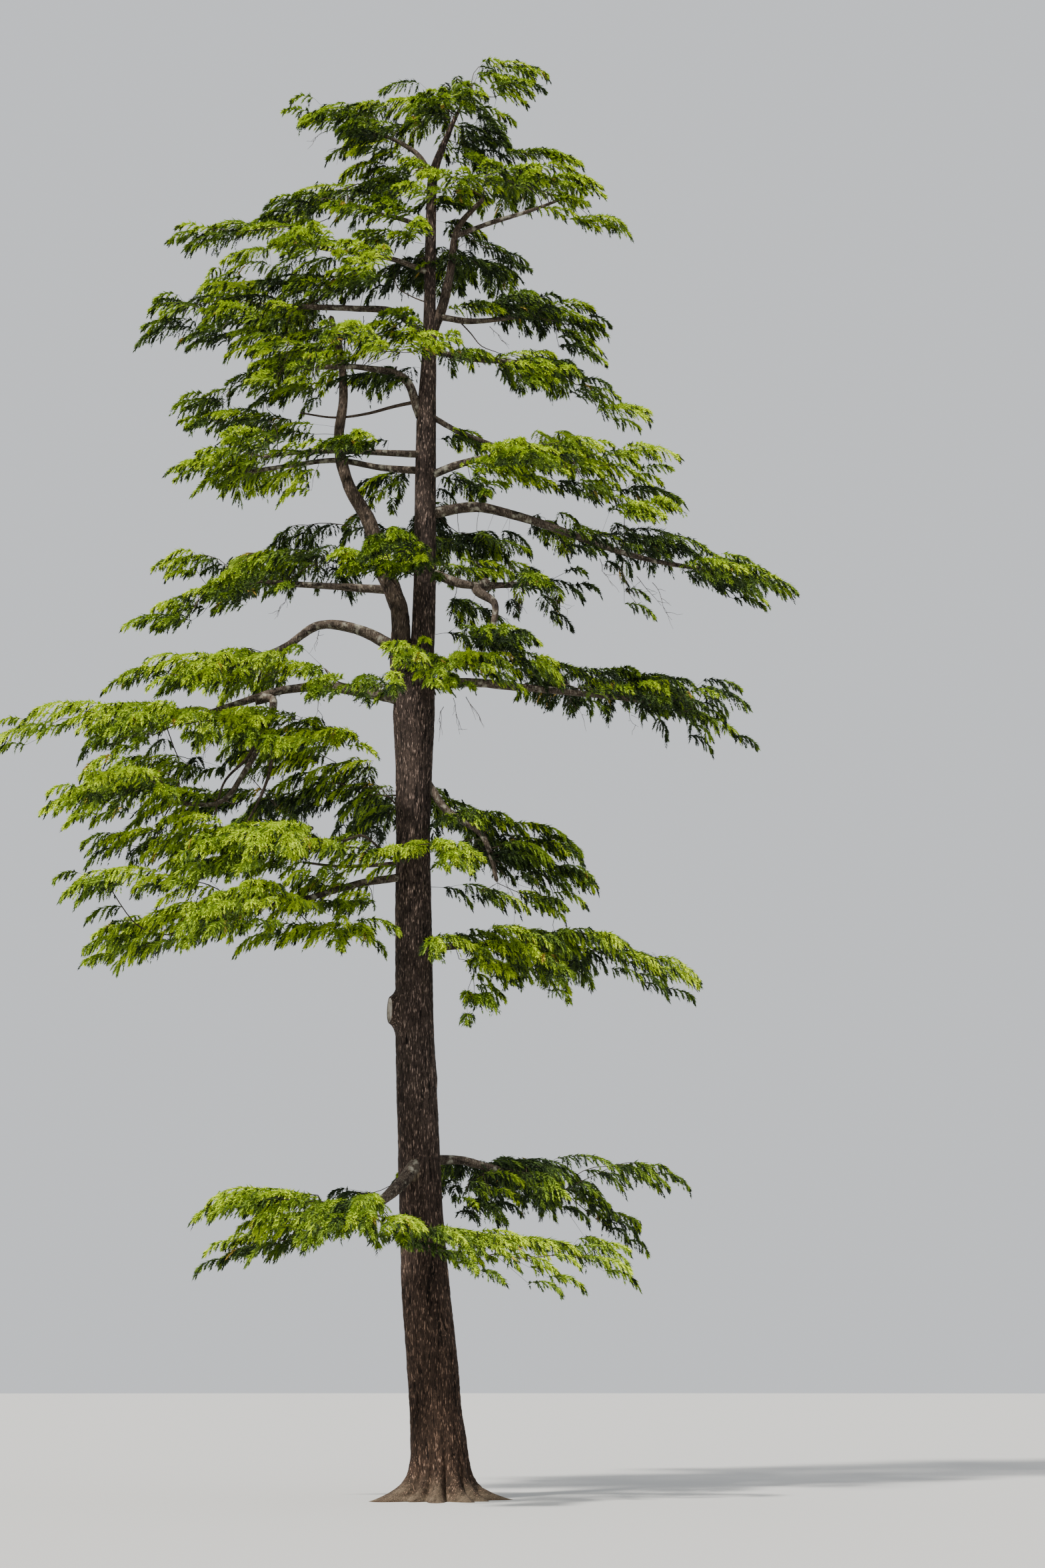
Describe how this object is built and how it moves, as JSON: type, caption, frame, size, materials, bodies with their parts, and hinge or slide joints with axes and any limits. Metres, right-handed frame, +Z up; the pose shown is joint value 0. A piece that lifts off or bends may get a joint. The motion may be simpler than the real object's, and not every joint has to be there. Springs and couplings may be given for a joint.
{
  "type": "atlas cedar tree",
  "caption": "Tall mature conifer with a bare furrowed trunk, forked upper stems and flat, layered, drooping plates of needles on sparse spreading boughs",
  "frame": {"origin": "on the level ground inside the trunk's foot, in the flat cut under the trunk", "axes": "+Z is up along the trunk, +X is to the right of the pictured side and +Y points away from the picture's viewer"},
  "size_m": [12.531, 9.4396, 23.7399],
  "materials": {
    "bark_dark": "deeply furrowed bark",
    "bark_grey": "fine scaly bark with lichen",
    "cut_wood": "weathered saw cut",
    "needles_bright": "sunlit yellow-green needles",
    "needles_green": "mid green needles",
    "needles_dark": "shaded dark green needles"
  },
  "bodies": {
    "root": {"bough_10m_right": "bark_grey", "bough_11m_left": "bark_grey", "bough_12m_left": "bark_grey", "bough_12m_right": "bark_grey", "bough_13m_left": "bark_grey", "bough_13m_right": "bark_grey", "bough_14m_left": "bark_grey", "bough_14m_right": "bark_grey", "bough_15m_right": "bark_grey", "bough_16m_left_far": "bark_grey", "bough_16m_left_near": "bark_grey", "bough_16m_right": "bark_grey", "bough_17m_right": "bark_grey", "bough_18m_left": "bark_grey", "bough_18m_right": "bark_grey", "bough_19m_left": "bark_grey", "bough_19m_right": "bark_grey", "bough_20m_left": "bark_grey", "bough_21m_left": "bark_grey", "bough_21m_right": "bark_grey", "bough_22m_left": "bark_grey", "bough_5m_left": "bark_grey", "bough_5m_right": "bark_grey", "bough_8m_right": "bark_grey", "bough_9m_left": "bark_grey", "foliage_10m_back": "needles_dark", "foliage_10m_far_left": "needles_bright", "foliage_10m_left": "needles_bright", "foliage_11m_left": "needles_bright", "foliage_12m_front": "needles_bright", "foliage_12m_left": "needles_bright", "foliage_12m_right": "needles_dark", "foliage_13m_right": "needles_dark", "foliage_14m_front": "needles_bright", "foliage_14m_left": "needles_green", "foliage_14m_right": "needles_dark", "foliage_14m_right_end": "needles_green", "foliage_15m_back": "needles_dark", "foliage_15m_right": "needles_dark", "foliage_16m_left": "needles_bright", "foliage_16m_right": "needles_bright", "foliage_18m_left": "needles_bright", "foliage_18m_right": "needles_green", "foliage_19m_left": "needles_green", "foliage_19m_right": "needles_dark", "foliage_20m_left": "needles_bright", "foliage_20m_right": "needles_dark", "foliage_21m_left": "needles_green", "foliage_21m_right": "needles_bright", "foliage_22m_left": "needles_green", "foliage_4m_front": "needles_bright", "foliage_4m_right": "needles_dark", "foliage_8m_right": "needles_green", "foliage_9m_far_left": "needles_bright", "foliage_9m_right": "needles_dark", "foliage_summit": "needles_green", "pruned_stub": "cut_wood", "stem_left": "bark_grey", "stem_right": "bark_grey", "trunk": "bark_dark"}
  },
  "joints": []
}
